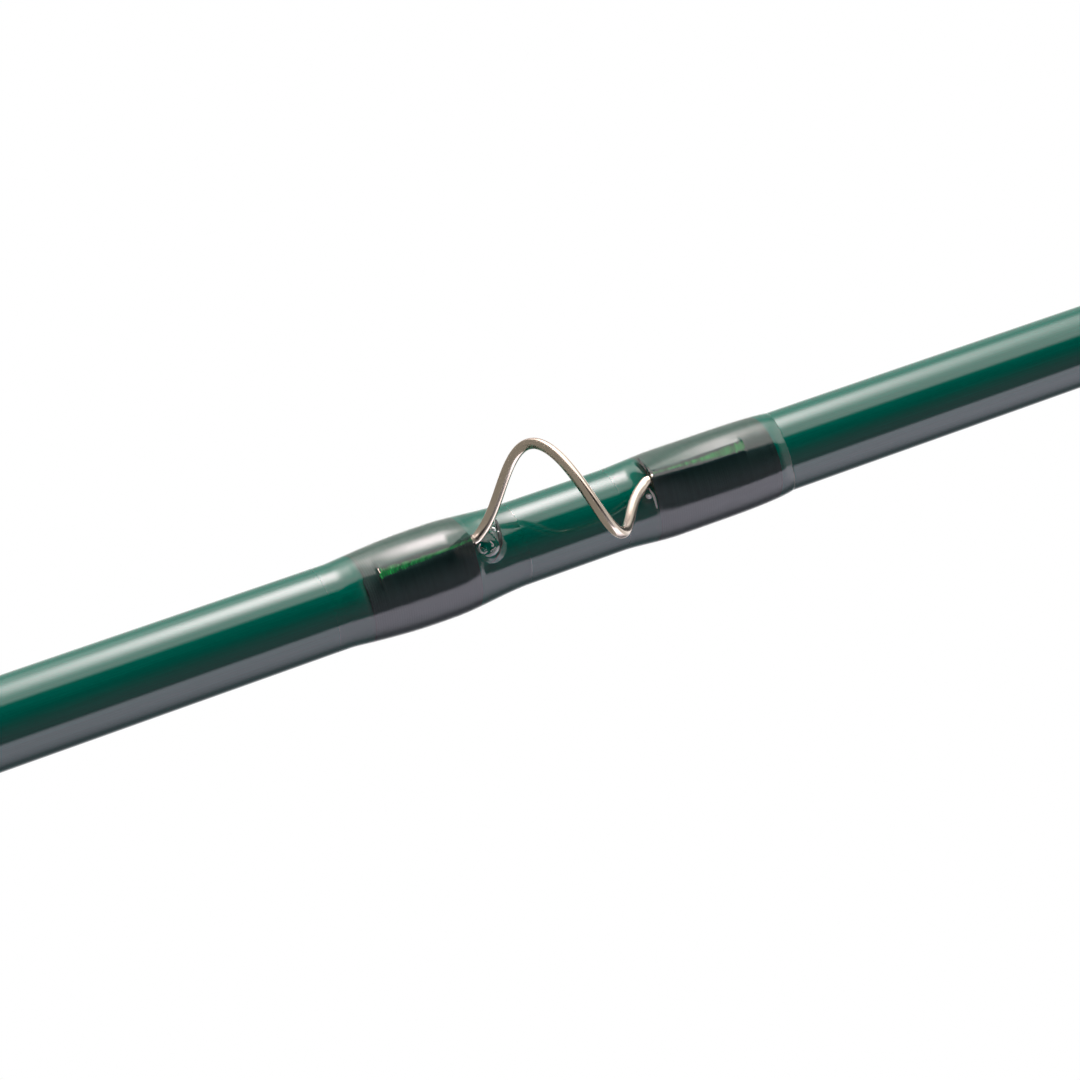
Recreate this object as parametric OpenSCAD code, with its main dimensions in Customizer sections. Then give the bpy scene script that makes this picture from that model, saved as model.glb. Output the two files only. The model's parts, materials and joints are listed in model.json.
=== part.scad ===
// Four-piece fly rod, nine feet long, standing on its butt.
// +Z runs from the butt to the tip along the blank's axis, and the guides and the reel are on the -Y side.

/* [Rod] */
// Overall length from the flat of the butt to the end of the tip tube
rod_length = 2743; // [2650:1:2850]
// Length of each sleeve ferrule, where one section sits inside the next
ferrule_length = 55; // [45:1:60]
// Radial clearance of the ferrules, and of every glued or wrapped joint
fit_gap = 0.02; // [0.01:0.005:0.04]

/* [Guides] */
// Wire radius of the largest snake guide
snake_wire_r = 0.42; // [0.35:0.01:0.45]
// Half the distance between the two points where its wire rises from the wraps
snake_half_span = 7.12; // [6.5:0.02:7.5]
// Length of the ground foot nearer the butt
lower_foot = 7.5; // [7:0.1:9]
// Length of the ground foot nearer the tip
upper_foot = 8.2; // [7:0.1:9]
// Distance from the tip to the first guide
first_guide = 95; // [90:1:100]
// How much each guide space grows towards the butt
guide_growth = 12; // [11.8:0.1:12.2]
// Diameter of the wrapping thread
thread = 0.13; // [0.1:0.01:0.18]

/* [Handle] */
// Outer radius of the threads on the reel seat
seat_r = 8.6; // [8.4:0.1:8.8]
// How far the sliding hood runs up the seat
hood_travel = 22; // [15:1:24]
// Number of cork rings in the grip
cork_count = 14; // [12:1:15]
// Thickness of one cork ring
cork_t = 12.7; // [12:0.1:13]

/* [Hidden] */
$fn = 64;

blank_green = [0.02, 0.24, 0.17];
thread_green = [0.02, 0.14, 0.08];
resin = [0.75, 0.85, 0.8, 0.4];
steel = [0.72, 0.68, 0.62];
aluminium = [0.62, 0.63, 0.65];
black_alloy = [0.12, 0.13, 0.14];
cork = [0.82, 0.66, 0.46];
wood = [0.36, 0.19, 0.1];
ceramic = [0.1, 0.1, 0.11];
white = [0.93, 0.92, 0.86];

// ---- Blank sections, counted 0 (butt), 1 (lower mid), 2 (upper mid), 3 (tip) ----
section_length = (rod_length + 3 * ferrule_length) / 4;
step_length = section_length - ferrule_length;
blank_foot = 46;                          // the butt end of the blank, inside the reel seat
low_r = [5.30, 4.42, 3.46, 2.34];         // outer radius at each section's lower end
top_r = [3.56, 2.89, 1.85, 0.95];         // and at its upper end
wall = [0.95, 0.62, 0.52, 0.45];
socket_extra = 5;                         // empty depth beyond the end of the male ferrule
cut = 1;                                  // how far a cutter runs past the face it cuts

function section_low(k) = k == 0 ? blank_foot : k * step_length;
function section_top(k) = k * step_length + section_length;
function blank_r(k, z) =
  low_r[k] + (top_r[k] - low_r[k]) * (z - section_low(k)) / (section_top(k) - section_low(k));
function male_r(k, z) = blank_r(k - 1, z);

module cone(z0, z1, r0, r1) {
  translate([0, 0, z0]) cylinder(h = z1 - z0, r1 = r0, r2 = r1);
}

module tube(z0, z1, outer, inner) {
  difference() {
    cone(z0, z1, outer, outer);
    cone(z0 - cut, z1 + cut, inner, inner);
  }
}

// The outside of section k between two heights, grown by gap: what fits over the blank is cut with it.
module blank_outside(k, z0, z1, gap) {
  cone(z0, z1, blank_r(k, z0) + gap, blank_r(k, z1) + gap);
}

module blank(k) {
  z0 = section_low(k);
  z1 = section_top(k);
  bore0 = k == 0 ? z0 - cut : z0 + ferrule_length + socket_extra;
  color(blank_green) difference() {
    blank_outside(k, z0, z1, 0);
    cone(bore0, z1 + cut, blank_r(k, bore0) - wall[k], blank_r(k, z1 + cut) - wall[k]);
    if (k > 0)
      cone(z0 - cut, bore0 + 0.5, male_r(k, z0 - cut) + fit_gap, male_r(k, bore0 + 0.5) + fit_gap);
  }
}

// ---- Thread wraps and their clear finish ----
// A foot of the given width and height stands on the blank at -Y, and the thread spans it like a tent.
tent_sink = 0.985;                        // the tent's lower edges end this far out, just inside the blank
tent_coat = 0.12;                         // finish over the thread, on top of a foot
function tangent_point(x, y, r) =
  let (angle = atan2(x, y) + acos(r / norm([x, y]))) tent_sink * r * [sin(angle), cos(angle)];

function tent(r, half_w, h) =
  let (t = tangent_point(half_w, r + h, r))
  [[-half_w, -r - h], [-t[0], -t[1]], [0, 0], [t[0], -t[1]], [half_w, -r - h]];

module tent_prism(k, z0, z1, foot_w, foot_h, grow) {
  translate([0, 0, z0]) linear_extrude(z1 - z0)
    polygon(tent(blank_r(k, z0) + grow, foot_w / 2 + grow, foot_h + fit_gap));
}

// Everything that one wrap covers, grown by grow.
module wrap_form(k, z0, z1, foot_w, foot_h, grow) {
  blank_outside(k, z0, z1, fit_gap / 2 + grow);
  if (foot_h > 0) tent_prism(k, z0, z1, foot_w, foot_h, fit_gap / 2 + grow);
}

module wrap(k, z0, z1, foot_w = 0, foot_h = 0) {
  color(thread_green) difference() {
    wrap_form(k, z0, z1, foot_w, foot_h, thread);
    wrap_form(k, z0 - cut, z1 + cut, foot_w, foot_h, 0);
  }
}

// The finish swells over the wrap and thins out past its free end.
// out is 1 if that end is the upper one, -1 if it is the lower.
finish_coat = 0.3;
finish_run = 1.6;
finish_edge = 0.06;                       // its thickness where it ends
finish_least = 0.03;                      // and where it leaves the thread
finish_rows = 6;
module finish(k, z0, z1, foot_w = 0, foot_h = 0, out = 1) {
  a = out < 0 ? z0 - finish_run : z0;
  b = out > 0 ? z1 + finish_run : z1;
  color(resin) difference() {
    union() {
      rotate_extrude() polygon([
        [0, a], [blank_r(k, a) + finish_edge, a],
        for (i = [1:finish_rows - 1])
          let (z = a + (b - a) * i / finish_rows)
          [blank_r(k, z) + thread + finish_least + finish_coat * sin(180 * i / finish_rows), z],
        [blank_r(k, b) + finish_edge, b], [0, b]]);
      if (foot_h > 0) tent_prism(k, z0, z1, foot_w, foot_h, thread + tent_coat);
    }
    wrap_form(k, z0 - (out < 0 ? 0 : cut), z1 + (out > 0 ? 0 : cut), foot_w, foot_h, thread + fit_gap / 2);
    blank_outside(k, a - cut, b + cut, fit_gap / 2);
  }
}

// ---- Snake guides ----
// Guide n is the n-th from the tip. 1 to 10 are snakes, 11 and 12 are the two ringed stripping guides.
function guide_z(n) = rod_length - first_guide * n - guide_growth * n * (n - 1) / 2;
function snake_scale(n) = 0.52 + 0.048 * n;
function guide_section(n) = n > 9 ? 1 : n > 5 ? 2 : 3;
function snake_foot(side) = side < 0 ? lower_foot : upper_foot;

// The wire makes one turn: sideways, height above the blank, along the rod. u runs from -1 to 1.
function snake_point(u) = [
  3.94 * sin(180 * (u + 1)) - 0.86 * sin(360 * (u + 1)) - 0.18 * sin(540 * (u + 1)),
  3.34 - 2.85 * cos(180 * (u + 1)),
  snake_half_span * u - 0.9 * sin(180 * u) - 0.17 * sin(360 * u)];

snake_steps = 26;
foot_rows = 3;
ring_sides = 8;
toe_h = 0.18;
foot_half_w = 0.55;
foot_start = 0.25;                        // from the end of the wire's turn to the root of its foot
foot_fall = 3;                            // power of the curve that thins the foot towards its toe
foot_length_share = [for (i = [0:foot_rows]) 1 - i / foot_rows];

// A row of the swept wire: centre, half width, half height. Each foot is ground down to a thin toe.
function foot_row(side, share, s, k, zc) =
  let (z = side * (snake_half_span + foot_start + snake_foot(side) * share) * s,
       top = (toe_h + (snake_wire_r * 2 - toe_h) * pow(1 - share, foot_fall)) * s,
       base = blank_r(k, zc + z) + fit_gap)
  [[0, base + top / 2, z], (snake_wire_r + (foot_half_w - snake_wire_r) * min(1, share * 3)) * s, top / 2];

function wire_row(u, s, k, zc) =
  let (p = snake_point(u) * s)
  [[p[0], blank_r(k, zc) + p[1], p[2]], snake_wire_r * s, snake_wire_r * s];

function snake_rows(s, k, zc) = concat(
  [for (share = foot_length_share) foot_row(-1, share, s, k, zc)],
  [for (i = [1:snake_steps - 1]) wire_row(-1 + 2 * i / snake_steps, s, k, zc)],
  [for (i = [foot_rows:-1:0]) foot_row(1, foot_length_share[i], s, k, zc)]);

function unit(v) = v / norm(v);

// One ring of points round the path, square to its direction and level with the blank.
function ring_at(rows, i) =
  let (last = len(rows) - 1,
       way = unit(rows[min(i + 1, last)][0] - rows[max(i - 1, 0)][0]),
       out = unit([0, 1, 0] - way[1] * way),
       side = cross(out, way))
  [for (j = [0:ring_sides - 1])
    let (a = 360 * (j + 0.5) / ring_sides)
    rows[i][0] + side * rows[i][1] * cos(a) + out * rows[i][2] * sin(a)];

module swept(rows) {
  n = len(rows);
  points = [for (i = [0:n - 1]) each ring_at(rows, i)];
  sides = [for (i = [0:n - 2], j = [0:ring_sides - 1])
    let (a = i * ring_sides + j, b = i * ring_sides + (j + 1) % ring_sides)
    each [[a, b, a + ring_sides], [b, b + ring_sides, a + ring_sides]]];
  start = [for (j = [1:ring_sides - 2]) [0, j + 1, j]];
  top = (n - 1) * ring_sides;
  end = [for (j = [1:ring_sides - 2]) [top, top + j, top + j + 1]];
  polyhedron(points, concat(sides, start, end));
}

module snake_guide(n) {
  s = snake_scale(n);
  color(steel) translate([0, 0, guide_z(n)]) rotate([0, 0, 180])
    swept(snake_rows(s, guide_section(n), guide_z(n)));
}

// side -1 is the foot nearer the butt, 1 the one nearer the tip.
wrap_margin = 1.5;
wrap_start = 0.35;                        // from the end of the wire's turn to the first turn of thread
snake_margin = [1.28, 2.4];               // how far its wraps run past the lower and the upper toe
tent_side_gap = 0.1;                      // room that the wraps leave round a foot, across both its sides
tent_top_gap = 0.06;                      // and above it
module for_snake_foot(n, side) {
  s = snake_scale(n);
  near = (snake_half_span + wrap_start) * s;
  far = (snake_half_span + foot_start + snake_foot(side) + snake_margin[side < 0 ? 0 : 1]) * s;
  $lower = guide_z(n) + (side < 0 ? -far : near);
  $upper = guide_z(n) + (side < 0 ? -near : far);
  $foot_w = foot_half_w * 2 * s + tent_side_gap;
  $foot_h = snake_wire_r * 2 * s + tent_top_gap;
  children();
}

module snake_wraps(guides) {
  for (n = guides, side = [-1, 1]) for_snake_foot(n, side)
    wrap(guide_section(n), $lower, $upper, $foot_w, $foot_h);
}

// Height of the finish at distance t from the guide's middle. It rises from coat_root over coat_rise,
// and falls from coat_crest over coat_fall. The lower coat thins out gently, the upper one ends in a lip.
// Each list holds the lower coat's value and then the upper coat's.
coat_swell = [0.44, 0.27];
coat_root = [3, 5];
coat_rise = [6.5, 5];
coat_crest = [10.5, 13.5];
coat_fall = [7, 6];
coat_reach = [[4.6, 17.5], [5.8, 19.2]];  // where each coat starts and ends
coat_edge = 0.1;                          // its thickness there
coat_least = 0.6;                         // share of the swell left on a guide too small to measure
coat_rows = 8;
lip_bend = 2.5;                           // powers of the curve that rounds the upper coat's lip
lip_drop = 0.7;
fade_softness = 0.004;                    // smooths the lower coat's end
notch_half_w = 1.25;                      // room for the wire where it leaves the coat
notch_z = 5;
notch_depth = 16;
blank_cut = 20;                           // the blank is cut out of a coat this far past its wraps

function ease(x) = let (c = min(1, max(0, x))) c * c * (3 - 2 * c);
function coat_start(t, i) = coat_swell[i] * ease((t - coat_root[i]) / coat_rise[i]);
function lower_coat(t) =
  let (fall = cos(90 * max(0, t - coat_crest[0]) / coat_fall[0]))
  coat_start(t, 0) * (fall + sqrt(fall * fall + fade_softness)) / 2;
function upper_coat(t) =
  coat_start(t, 1) * pow(1 - pow(max(0, t - coat_crest[1]) / coat_fall[1], lip_bend), lip_drop);

function coat_profile(n, side) =
  let (s = snake_scale(n), reach = coat_reach[side < 0 ? 0 : 1])
  [for (i = [0:coat_rows])
    let (t = reach[0] + (reach[1] - reach[0]) * i / coat_rows,
         height = side < 0 ? lower_coat(t) : upper_coat(t),
         z = guide_z(n) + side * t * s)
    [blank_r(guide_section(n), z) + coat_edge + height * (coat_least + (1 - coat_least) * s), z]];

module snake_coat(n, side) {
  s = snake_scale(n);
  k = guide_section(n);
  profile = coat_profile(n, side);
  color(resin) difference() {
    union() {
      rotate_extrude() polygon(concat([[0, profile[0][1]]], profile, [[0, profile[coat_rows][1]]]));
      tent_prism(k, $lower, $upper, $foot_w, $foot_h, thread + tent_coat);
    }
    wrap_form(k, $lower, $upper, $foot_w, $foot_h, thread + fit_gap / 2);
    blank_outside(k, $lower - blank_cut, $upper + blank_cut, fit_gap / 2);
    translate([0, -notch_depth / 2, guide_z(n) + side * notch_z * s])
      cube([notch_half_w * 2 * s, notch_depth, notch_z * s], center = true);
  }
}

module snake_finish(guides) {
  for (n = guides, side = [-1, 1]) for_snake_foot(n, side) snake_coat(n, side);
}

// ---- Stripping guides: index 0 is the first from the butt ----
stripper_n = [12, 11];
ring_outer = [7.2, 5.6];
ring_inner = [5.5, 4.1];
ring_height = [17, 13.5];                 // ring centre above the blank
stripper_span = [10, 8.5];                // from the ring's plane to each foot
stripper_foot = 9;
stripper_foot_w = 1.9;
stripper_foot_h = 0.7;
ring_t = 2.0;
ring_round = 0.62;                        // radius of its rounded bore, as a share of its thickness
frame_t = 1.5;
frame_wall = 0.8;
leg_r = 0.62;
leg_angle = 40;                           // where the legs leave the frame, from its point nearest the blank
leg_half_gap = 0.35;                      // between the ends of two legs that share a foot
leg_overlap = 0.6;                        // how far a leg runs on over its foot
stripper_wrap_start = 1.2;

module strut(a, b, r) {
  d = b - a;
  translate(a) rotate([0, acos(d[2] / norm(d)), atan2(d[1], d[0])]) cylinder(h = norm(d), r = r);
}

module stripper_feet(i) {
  r = blank_r(1, guide_z(stripper_n[i]) - stripper_span[i] - stripper_foot) + fit_gap;
  for (side = [-1, 1]) {
    z = side * (stripper_span[i] + stripper_foot / 2) - stripper_foot / 2;
    translate([-stripper_foot_w / 2, -r - stripper_foot_h, z])
      cube([stripper_foot_w, stripper_foot_h, stripper_foot]);
  }
}

module stripper_frame(i) {
  zc = guide_z(stripper_n[i]);
  r = blank_r(1, zc) + fit_gap;
  y = -r - ring_height[i];
  seat = ring_outer[i] + fit_gap / 2;
  band = seat + frame_wall / 2;
  color(steel) translate([0, 0, zc]) difference() {
    union() {
      translate([0, y, 0]) cone(-frame_t / 2, frame_t / 2, seat + frame_wall, seat + frame_wall);
      for (side = [-1, 1], end = [-1, 1])
        strut([side * band * sin(leg_angle), y + band * cos(leg_angle), 0],
              [side * leg_half_gap, -r - leg_r, end * (stripper_span[i] + leg_overlap)], leg_r);
      stripper_feet(i);
    }
    translate([0, y, 0]) cone(-ring_height[i], ring_height[i], seat, seat);
  }
}

module stripper_ring(i) {
  zc = guide_z(stripper_n[i]);
  y = -blank_r(1, zc) - fit_gap - ring_height[i];
  w = ring_outer[i] - ring_inner[i];
  color(ceramic) translate([0, y, zc]) rotate_extrude() {
    translate([ring_inner[i] + w / 2, 0]) intersection() {
      square([w, ring_t], center = true);
      circle(r = ring_t * ring_round);
    }
  }
}

module for_stripper_foot(i, side) {
  near = stripper_span[i] + stripper_wrap_start;
  far = stripper_span[i] + stripper_foot + wrap_margin;
  zc = guide_z(stripper_n[i]);
  $lower = zc + (side < 0 ? -far : near);
  $upper = zc + (side < 0 ? -near : far);
  $foot_w = stripper_foot_w + tent_side_gap;
  $foot_h = stripper_foot_h + leg_r + tent_side_gap;
  children();
}

module stripper_finish() {
  for (i = [0, 1], side = [-1, 1]) for_stripper_foot(i, side)
    finish(1, $lower, $upper, $foot_w, $foot_h, side);
}

// ---- Ferrule wraps and alignment dots ----
ferrule_wrap = 14;
ferrule_bare = 0.6;                       // bare rim below the wrap
module ferrule_wrap_on(k) { wrap(k, section_low(k) + ferrule_bare, section_low(k) + ferrule_wrap); }
module ferrule_finish_on(k) { finish(k, section_low(k) + ferrule_bare, section_low(k) + ferrule_wrap); }

dot_r = 0.9;
dot_t = 0.16;
male_dot_space = 4;                       // from the end of the sleeve to the dot below it
female_dot_space = 3;                     // from the end of the finish to the dot above it
module dot(k, z) {
  color(white) intersection() {
    difference() {
      blank_outside(k, z - 2 * dot_r, z + 2 * dot_r, dot_t);
      blank_outside(k, z - 3 * dot_r, z + 3 * dot_r, fit_gap / 2);
    }
    translate([0, 0, z]) rotate([90, 0, 0]) cylinder(h = 2 * blank_r(k, z), r = dot_r);
  }
}
function male_dot_z(k) = section_top(k) - ferrule_length - male_dot_space;
function female_dot_z(k) = section_low(k) + ferrule_wrap + finish_run + female_dot_space;

// ---- Reel seat, from the butt up ----
knob_h = 30;
ring_plate = 3;
barrel_z = knob_h + ring_plate;
thread_z = barrel_z + 4;
barrel_top = 87;
hood_mouth = 139;
small_gap = 0.05;
barrel_bore = 7.2;
insert_bore = 6.2;
thread_pitch = 1.5;
thread_depth = 0.35;
nut_bore = seat_r + 0.1;
hood_r = 11.2;
hood_offset = 1.3;
hood_wall = 1.1;
hood_length = 15;
hood_z = 60;
fixed_hood_top = hood_mouth + hood_length - small_gap;
nut_h = [6.5, 5.5];                       // hood nut, jam nut
washer_h = 1.2;
nut_r = 11;
knurls = 40;

module fighting_butt() {
  flat_r = 9.5;
  color([0.5, 0.3, 0.2]) difference() {
    rotate_extrude() polygon([
      [0, 0], [flat_r, 0],
      for (i = [1:14])
        let (t = i / 14)
        [11.2 + 3.0 * sin(180 * pow(t, 0.8)) - 1.7 * pow(1 - t, 6), knob_h * t],
      [0, knob_h]]);
    cone(stud_low - small_gap, knob_h + cut, stud_r + fit_gap, stud_r + fit_gap);
  }
}

// A stepped plug: glued in the bottom of the barrel, its stud holds the fighting butt.
stud_r = 4;
stud_low = 9;
plug_top = 45;
module seat_plug() {
  color(aluminium) {
    cone(stud_low, barrel_z + 1, stud_r, stud_r);
    cone(barrel_z, plug_top, barrel_bore - fit_gap, barrel_bore - fit_gap);
  }
}

module butt_ring() {
  color(black_alloy) difference() {
    rotate_extrude() polygon([
      [0, knob_h + fit_gap], [10.9, knob_h + fit_gap], [11.6, knob_h + 0.8],
      [11.6, knob_h + 2.2], [10.9, barrel_z - fit_gap], [0, barrel_z - fit_gap]]);
    cone(knob_h - cut, barrel_z + cut, stud_r + fit_gap, stud_r + fit_gap);
  }
}

collar_r = 10.6;
collar_h = 2.5;
module seat_barrel() {
  root = seat_r - thread_depth;
  turns = floor((barrel_top - thread_z - 3) / thread_pitch);
  color(black_alloy) difference() {
    rotate_extrude() polygon([
      [barrel_bore, barrel_z], [collar_r, barrel_z], [collar_r, barrel_z + collar_h],
      [root, barrel_z + collar_h],
      for (i = [0:turns - 1])
        let (z = thread_z + i * thread_pitch)
        each [[root, z], [seat_r, z + 0.3 * thread_pitch], [seat_r, z + 0.5 * thread_pitch],
              [root, z + 0.8 * thread_pitch]],
      [root, barrel_top - 1.5], [seat_r, barrel_top - 1], [seat_r, barrel_top],
      [barrel_bore, barrel_top]]);
  }
}

// A flat runs down the insert under the reel foot.
foot_flat = 0.45;
module seat_insert() {
  color(wood) difference() {
    cone(barrel_top + fit_gap, fixed_hood_top, seat_r, seat_r);
    cone(barrel_top - cut, fixed_hood_top + cut, insert_bore, insert_bore);
    translate([-5, -seat_r - 2 + foot_flat, barrel_top + 4]) cube([10, 2, hood_mouth + 8 - barrel_top]);
  }
}

arbor_z = [50, 70, 92, 116, 139];
arbor_h = 10;
module seat_arbors() {
  color([0.85, 0.8, 0.66]) for (z = arbor_z)
    difference() {
      r = (z + arbor_h < barrel_top ? barrel_bore : insert_bore) - fit_gap;
      cone(z, z + arbor_h, r, r);
      blank_outside(0, z - cut, z + arbor_h + cut, fit_gap);
    }
}

// A hood is a sleeve on the seat, set towards -Y so that the reel foot slides in under its open end.
module hood(bore) {
  floor_z = 3.5;
  chamfer = 1.2;
  difference() {
    translate([0, -hood_offset, 0]) {
      cone(chamfer, hood_length, hood_r, hood_r);
      cone(0, chamfer, hood_r - 0.7, hood_r);
    }
    cone(-cut, hood_length + cut, bore, bore);
    translate([0, -hood_offset, 0])
      cone(floor_z, hood_length + cut, hood_r - hood_wall, hood_r - hood_wall + 0.2);
  }
}

module fixed_hood() {
  color(black_alloy) translate([0, 0, fixed_hood_top]) mirror([0, 0, 1]) hood(seat_r + fit_gap);
}

module sliding_hood() { color(black_alloy) translate([0, 0, hood_z]) hood(nut_bore); }

module knurled_nut(z, h) {
  color(black_alloy) translate([0, 0, z]) difference() {
    intersection() {
      linear_extrude(h) polygon([
        for (i = [0:knurls - 1], j = [0, 1])
          let (r = j == 0 ? nut_r : nut_r - 0.45)
          each [r * [cos(360 * (i + j * 0.5 - 0.13) / knurls), sin(360 * (i + j * 0.5 - 0.13) / knurls)],
                r * [cos(360 * (i + j * 0.5 + 0.13) / knurls), sin(360 * (i + j * 0.5 + 0.13) / knurls)]]]);
      union() {
        cone(0, 0.7, nut_r - 0.7, nut_r);
        cone(0.7, h - 0.7, nut_r, nut_r);
        cone(h - 0.7, h, nut_r, nut_r - 0.7);
      }
    }
    cone(-cut, h + cut, nut_bore, nut_bore);
  }
}
hood_nut_z = hood_z - small_gap - nut_h[0];
washer_z = hood_nut_z - small_gap - washer_h;
jam_nut_z = washer_z - small_gap - nut_h[1];
module nut_washer() { color(white) tube(washer_z, washer_z + washer_h, nut_r - 0.5, nut_bore); }

// ---- Cork grip, full wells shape ----
grip_z = hood_mouth + hood_length;
grip_length = cork_count * cork_t;
grip_top = grip_z + grip_length;
function grip_r(t) =
  12.3 + 1.5 * cos(360 * t) - 1.0 * pow(2.718, -t * 45) - 4.2 * pow(2.718, -(1 - t) * 26);

module cork_ring(i) {
  z0 = grip_z + i * cork_t;
  rows = 6;
  glue = 0.02;
  difference() {
    rotate_extrude() polygon([
      [0, z0],
      for (j = [0:rows])
        let (z = z0 + (cork_t - glue) * j / rows)
        [grip_r((z - grip_z) / grip_length), z],
      [0, z0 + cork_t - glue]]);
    blank_outside(0, z0 - cut, z0 + cork_t + cut, fit_gap);
  }
}

check_h = 3;
module winding_check() {
  z = grip_top + fit_gap;
  color(aluminium) difference() {
    rotate_extrude() polygon([
      [0, z], [8.4, z], [8.4, z + 0.8], [7.4, z + check_h], [0, z + check_h]]);
    blank_outside(0, z - cut, z + check_h + cut, fit_gap);
  }
}

// ---- Folding hook keeper ----
keeper_z = grip_top + 34;
pin_r = 0.45;
pin_height = 1.6;                         // above the blank
keeper_barrel = 3.2;
keeper_barrel_r = 1.05;
keeper_loop = 3.0;
keeper_foot_w = 1.8;
keeper_foot_h = 0.5;
keeper_reach = 7.5;
function keeper_y() = -blank_r(0, keeper_z) - pin_height;

module keeper_base() {
  r = blank_r(0, keeper_z - keeper_reach) + fit_gap;
  color(steel) translate([0, 0, keeper_z]) difference() {
    union() {
      translate([-keeper_foot_w / 2, -r - keeper_foot_h, -keeper_reach])
        cube([keeper_foot_w, keeper_foot_h, 2 * keeper_reach]);
      translate([-keeper_barrel / 2, keeper_y(), 0]) rotate([0, 90, 0])
        cylinder(h = keeper_barrel, r = keeper_barrel_r);
      translate([-keeper_barrel / 2, keeper_y(), -0.9])
        cube([keeper_barrel, pin_height - fit_gap - 0.25, 1.8]);
    }
    translate([-keeper_barrel, keeper_y(), 0]) rotate([0, 90, 0])
      cylinder(h = 2 * keeper_barrel, r = pin_r + 0.06);
    blank_outside_at_keeper();
  }
}

module blank_outside_at_keeper() {
  translate([0, 0, -keeper_z])
    blank_outside(0, keeper_z - 2 * keeper_reach, keeper_z + 2 * keeper_reach, fit_gap);
}

module keeper_ring() {
  color(steel) translate([0, keeper_y(), keeper_z]) {
    translate([-keeper_loop, 0, 0]) rotate([0, 90, 0]) cylinder(h = 2 * keeper_loop, r = pin_r);
    rotate([90, 0, 0]) rotate([0, 0, 180]) rotate_extrude(angle = 180)
      translate([keeper_loop, 0]) circle(r = pin_r);
    for (side = [-1, 1]) translate([side * keeper_loop, 0, 0]) sphere(r = pin_r);
  }
}

keeper_wrap_near = 3.0;
module for_keeper_foot(side) {
  far = keeper_reach + wrap_margin;
  $lower = keeper_z + (side < 0 ? -far : keeper_wrap_near);
  $upper = keeper_z + (side < 0 ? -keeper_wrap_near : far);
  children();
}

trim_wrap = 9;
module butt_wraps() {
  wrap(0, grip_top + check_h + 0.1, grip_top + check_h + trim_wrap);
  for (side = [-1, 1]) for_keeper_foot(side)
    wrap(0, $lower, $upper, keeper_foot_w + 0.1, keeper_foot_h + 0.06);
}

module butt_finish() {
  finish(0, grip_top + check_h + 0.1, grip_top + check_h + trim_wrap);
  for (side = [-1, 1]) for_keeper_foot(side)
    finish(0, $lower, $upper, keeper_foot_w + 0.1, keeper_foot_h + 0.06, side);
}

// ---- Tip top ----
tip_tube = 9;
tip_wall = 0.35;
loop_r = 2.7;
loop_wire = 0.42;
tip_r = top_r[3] + tip_wall + fit_gap;
module tip_top_tube() {
  color(steel) difference() {
    cone(rod_length - tip_tube, rod_length + 0.4, blank_r(3, rod_length - tip_tube) + tip_wall, tip_r);
    blank_outside(3, rod_length - tip_tube - cut, rod_length + fit_gap, fit_gap);
  }
}

// The loop is brazed to the tube's flanks by two straight legs.
loop_tilt = 28;
module tip_top_loop() {
  leg_x = tip_r + loop_wire + fit_gap;
  color(steel) {
    translate([0, -2.0, rod_length + 1.6]) rotate([loop_tilt, 0, 0]) rotate_extrude()
      translate([loop_r, 0]) circle(r = loop_wire);
    for (side = [-1, 1])
      strut([side * leg_x, 0, rod_length - tip_tube + 1], [side * leg_x, 0, rod_length + 2.3], loop_wire);
  }
}

tip_wrap_length = 8;
module tip_top_wrap() {
  top = rod_length - tip_tube - 0.1;
  wrap(3, top - tip_wrap_length, top);
}

// ---- The rod ----
blank(0);  // butt_blank
fighting_butt();
seat_plug();
butt_ring();
seat_barrel();
seat_insert();
seat_arbors();
fixed_hood();
sliding_hood();
knurled_nut(hood_nut_z, nut_h[0]);  // hood_nut
nut_washer();
knurled_nut(jam_nut_z, nut_h[1]);  // jam_nut
color(cork) for (i = [0:cork_count - 1]) cork_ring(i);  // cork_rings
winding_check();
keeper_base();
keeper_ring();
butt_wraps();
butt_finish();
dot(0, male_dot_z(0));  // butt_dot
blank(1);  // lower_mid_blank
ferrule_wrap_on(1);  // lower_mid_ferrule_wrap
ferrule_finish_on(1);  // lower_mid_ferrule_finish
stripper_frame(0);  // first_stripper_frame
stripper_ring(0);  // first_stripper_ring
stripper_frame(1);  // second_stripper_frame
stripper_ring(1);  // second_stripper_ring
for (i = [0, 1], side = [-1, 1]) for_stripper_foot(i, side) wrap(1, $lower, $upper, $foot_w, $foot_h);  // stripper_wraps
stripper_finish();
snake_guide(10);  // lower_mid_snake_guide
snake_wraps([10]);  // lower_mid_snake_wraps
snake_finish([10]);  // lower_mid_snake_finish
union() { dot(1, female_dot_z(1)); dot(1, male_dot_z(1)); }  // lower_mid_dots
blank(2);  // upper_mid_blank
ferrule_wrap_on(2);  // upper_mid_ferrule_wrap
ferrule_finish_on(2);  // upper_mid_ferrule_finish
for (n = [6:9]) snake_guide(n);  // upper_mid_snake_guides
snake_wraps([6:9]);  // upper_mid_snake_wraps
snake_finish([6:9]);  // upper_mid_snake_finish
union() { dot(2, female_dot_z(2)); dot(2, male_dot_z(2)); }  // upper_mid_dots
blank(3);  // tip_blank
ferrule_wrap_on(3);  // tip_ferrule_wrap
ferrule_finish_on(3);  // tip_ferrule_finish
for (n = [1:5]) snake_guide(n);  // tip_snake_guides
snake_wraps([1:5]);  // tip_snake_wraps
snake_finish([1:5]);  // tip_snake_finish
tip_top_tube();
tip_top_loop();
tip_top_wrap();
dot(3, female_dot_z(3));  // tip_dot
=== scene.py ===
"""Looks for a four-piece fly rod that stands on its butt, seen close to its largest snake guide.

The blank's axis is +Z, and the guides are on the -Y side. Lengths in this script are in millimetres
until a mesh is made, and angles round the rod are counted from -Y, positive towards +X.
"""

import json
import math

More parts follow.
